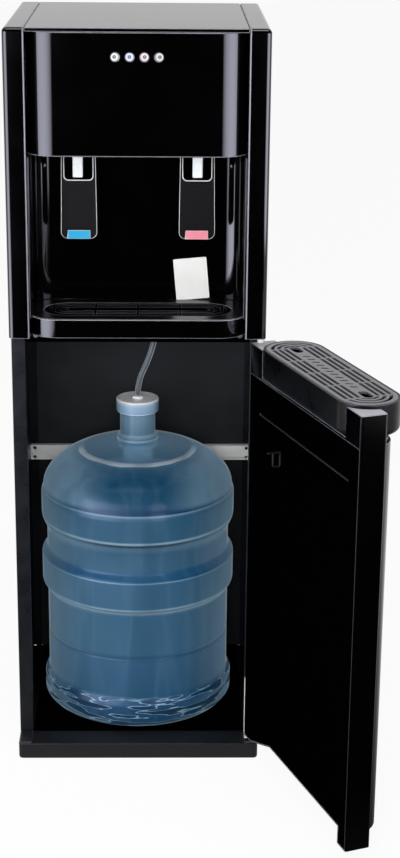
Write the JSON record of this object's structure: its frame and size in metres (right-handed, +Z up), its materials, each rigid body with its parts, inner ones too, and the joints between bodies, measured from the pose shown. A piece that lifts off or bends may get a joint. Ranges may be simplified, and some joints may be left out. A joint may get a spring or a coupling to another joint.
{
  "type": "bottom load water cooler",
  "caption": "Free-standing water cooler with hot and cold push taps over a grille shelf, and a hinged door with a lift-out drip tray that closes the bottle bay.",
  "frame": {"origin": "on the floor, under the middle of the cabinet's footprint", "axes": "+X to the right as seen from the front, -Y out of the front, +Z up; the door is drawn open"},
  "size_m": [0.4773, 0.6207, 0.995],
  "materials": {
    "gloss_black_plastic": "high gloss black moulding",
    "black_moulding": "satin black moulding",
    "black_painted_steel": "gloss black paint on sheet steel",
    "galvanised_steel": "zinc-plated, dull",
    "stainless_steel": "brushed",
    "bare_aluminium": "extruded, bare",
    "ceramic_and_board": "matte",
    "white_plastic": "smooth white moulding",
    "blue_plastic": "smooth bright blue moulding",
    "pink_plastic": "smooth pink moulding",
    "frosted_lens": "frosted clear",
    "blue_bottle": "clear blue polycarbonate",
    "clear_hose": "clear silicone",
    "soft_rubber": "matte",
    "foam": "cut polyethylene foam",
    "power_case": "grey painted case"
  },
  "bodies": {
    "cabinet": {"base_tray": "gloss_black_plastic", "compartment_floor": "gloss_black_plastic", "side_panel_left": "black_painted_steel", "side_panel_right": "black_painted_steel", "side_frame_left": "gloss_black_plastic", "side_frame_right": "gloss_black_plastic", "top_cover": "gloss_black_plastic", "fascia": "gloss_black_plastic", "indicator_lenses": "frosted_lens", "display_board": "ceramic_and_board", "dispensing_recess": "gloss_black_plastic", "shelf": "gloss_black_plastic", "cold_valve": "black_moulding", "cold_spout": "white_plastic", "hot_valve": "black_moulding", "hot_spout": "white_plastic", "mid_deck": "black_painted_steel", "hose_grommet": "soft_rubber", "rear_panel": "black_painted_steel", "cross_bar": "galvanised_steel", "suction_hose": "clear_hose", "pump": "white_plastic", "cold_tank": "stainless_steel", "hot_tank": "stainless_steel", "cold_insulation": "foam", "hot_insulation": "foam", "cooling_module": "ceramic_and_board", "heat_sink": "bare_aluminium", "fan_frame": "black_moulding", "power_unit": "power_case", "feed_hose": "clear_hose", "transfer_hose": "clear_hose", "cold_hose": "clear_hose", "hot_hose": "clear_hose", "rear_vent_panel": "black_painted_steel", "switch_bezel": "black_moulding", "power_inlet": "black_moulding", "drain_fitting": "white_plastic", "drain_cap": "black_moulding", "panel_screws": "galvanised_steel", "lower_hinge": "galvanised_steel", "upper_hinge": "galvanised_steel"},
    "door": {"door_frame": "gloss_black_plastic", "door_liner": "gloss_black_plastic", "door_front": "gloss_black_plastic", "probe_hanger": "black_moulding"},
    "bottle": {"water_bottle": "blue_bottle", "bottle_cap": "white_plastic", "probe_tube": "white_plastic", "probe_strainer": "white_plastic"},
    "drip_tray": {"drip_tray": "gloss_black_plastic"},
    "drip_tray_grille": {"drip_tray_grille": "gloss_black_plastic"},
    "shelf_grille": {"shelf_grille": "gloss_black_plastic"},
    "cold_paddle": {"cold_paddle": "black_moulding", "cold_tag": "blue_plastic"},
    "hot_paddle": {"hot_paddle": "black_moulding", "hot_tag": "pink_plastic"},
    "fan_rotor": {"fan_rotor": "black_moulding"},
    "cold_switch": {"cold_switch": "blue_plastic"},
    "hot_switch": {"hot_switch": "pink_plastic"}
  },
  "joints": [
    {"name": "door_hinge", "type": "hinge", "parent": "cabinet", "child": "door", "pos_m": [0.1595, -0.138, 0.3], "axis": [0, 0, 1], "range_deg": [-110, 8]},
    {"name": "bottle_slide", "type": "slide", "parent": "cabinet", "child": "bottle", "axis": [0, -1, 0], "range_m": [0, 0.32], "deforming": ["suction_hose"]},
    {"name": "tray_lift", "type": "slide", "parent": "door", "child": "drip_tray", "axis": [0, 0, 1], "range_m": [0, 0.05]},
    {"name": "tray_grille_lift", "type": "slide", "parent": "drip_tray", "child": "drip_tray_grille", "axis": [0, 0, 1], "range_m": [0, 0.04]},
    {"name": "shelf_grille_lift", "type": "slide", "parent": "cabinet", "child": "shelf_grille", "axis": [0, 0, 1], "range_m": [0, 0.04]},
    {"name": "cold_paddle_press", "type": "hinge", "parent": "cabinet", "child": "cold_paddle", "pos_m": [-0.076, -0.0955, 0.822], "axis": [1, 0, 0], "range_deg": [0, 9], "stiffness_Nm_per_rad": 0.3, "springref_deg": -11.46},
    {"name": "hot_paddle_press", "type": "hinge", "parent": "cabinet", "child": "hot_paddle", "pos_m": [0.076, -0.0955, 0.822], "axis": [1, 0, 0], "range_deg": [0, 9], "stiffness_Nm_per_rad": 0.3, "springref_deg": -11.46},
    {"name": "fan_spin", "type": "hinge", "parent": "cabinet", "child": "fan_rotor", "pos_m": [-0.095, 0.14, 0.71], "axis": [0, 1, 0], "continuous": true},
    {"name": "cold_switch_rock", "type": "hinge", "parent": "cabinet", "child": "cold_switch", "pos_m": [0.089, 0.159, 0.78], "axis": [1, 0, 0], "range_deg": [-14, 0]},
    {"name": "hot_switch_rock", "type": "hinge", "parent": "cabinet", "child": "hot_switch", "pos_m": [0.111, 0.159, 0.78], "axis": [1, 0, 0], "range_deg": [-14, 0]}
  ]
}
